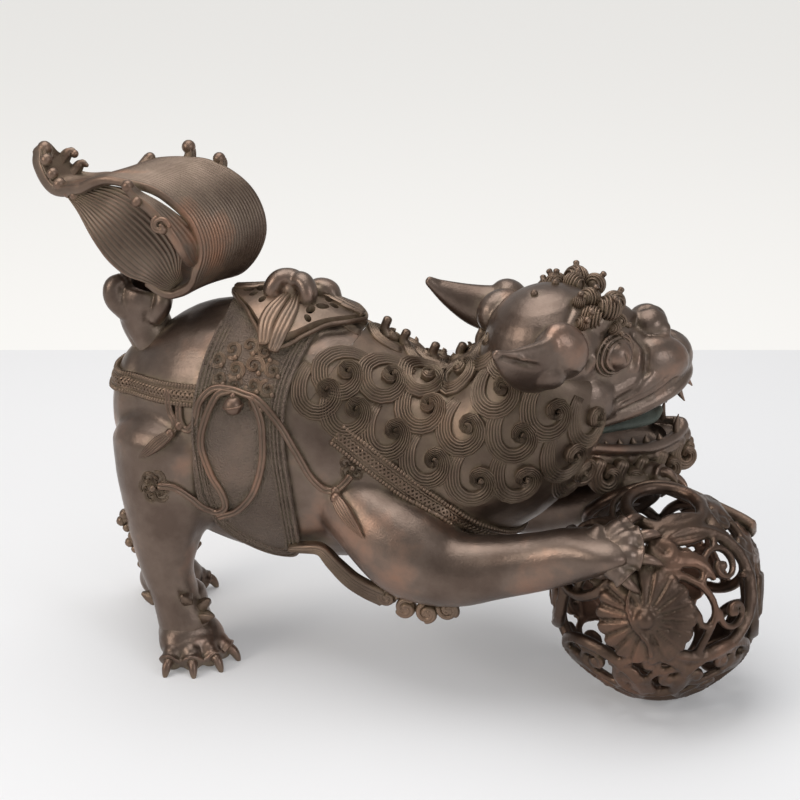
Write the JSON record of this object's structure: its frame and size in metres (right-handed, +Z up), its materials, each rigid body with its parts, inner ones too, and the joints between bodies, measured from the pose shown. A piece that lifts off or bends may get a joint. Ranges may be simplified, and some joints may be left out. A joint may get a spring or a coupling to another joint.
{
  "type": "foo dog statue",
  "caption": "Crouching lion-dog with curled mane and rolled plume tail, forepaws on an openwork ball, with a lift-off pierced lid on its hollow back.",
  "frame": {"origin": "on the surface the object stands on, under the middle of its bounding box", "axes": "+X towards the lion's head and the ball, +Y to the lion's left, +Z up"},
  "size_m": [0.387, 0.146, 0.2709],
  "materials": {
    "dark_bronze": "dark brown patinated cast bronze, waxed",
    "rubbed_bronze": "brown patina rubbed through to reddish bronze on the high spots",
    "dusted_bronze": "brown patina with pale dust in the chased lines",
    "green_bronze": "green corrosion in the recesses of the mouth"
  },
  "bodies": {
    "statue": {"head_shell": "dark_bronze", "lower_jaw": "dark_bronze", "beard": "dusted_bronze", "tongue": "green_bronze", "upper_teeth": "rubbed_bronze", "lower_teeth": "rubbed_bronze", "right_ear": "rubbed_bronze", "left_ear": "rubbed_bronze", "torso_shell": "dark_bronze", "mane_shell": "dusted_bronze", "saddle_cloth": "dark_bronze", "breast_strap": "dusted_bronze", "crupper_strap": "dusted_bronze", "right_saddle_ornament": "dusted_bronze", "right_bell": "rubbed_bronze", "right_harness_cord": "dusted_bronze", "right_front_tassel": "dusted_bronze", "right_hind_leg": "dark_bronze", "right_paw_rivet": "dark_bronze", "left_saddle_ornament": "dusted_bronze", "left_bell": "rubbed_bronze", "left_harness_cord": "dusted_bronze", "left_front_tassel": "dusted_bronze", "left_hind_leg": "dark_bronze", "left_paw_rivet": "dark_bronze", "right_fore_leg": "rubbed_bronze", "left_fore_leg": "dark_bronze", "right_hind_leg_rivet": "dark_bronze", "left_hind_leg_rivet": "dark_bronze", "right_fore_leg_rivet": "dark_bronze", "left_fore_leg_rivet": "dark_bronze", "ball_shell": "rubbed_bronze", "ball_sash": "rubbed_bronze", "tail_base": "dusted_bronze", "tail_plume": "dark_bronze", "tail_near_leaf": "dark_bronze", "tail_pin": "dark_bronze"},
    "lid": {"saddle_lid": "dark_bronze", "lid_knot": "rubbed_bronze"}
  },
  "joints": [
    {"name": "lid_lift", "type": "slide", "parent": "statue", "child": "lid", "axis": [0.35, 0, 0.9367], "range_m": [0, 0.06]}
  ]
}
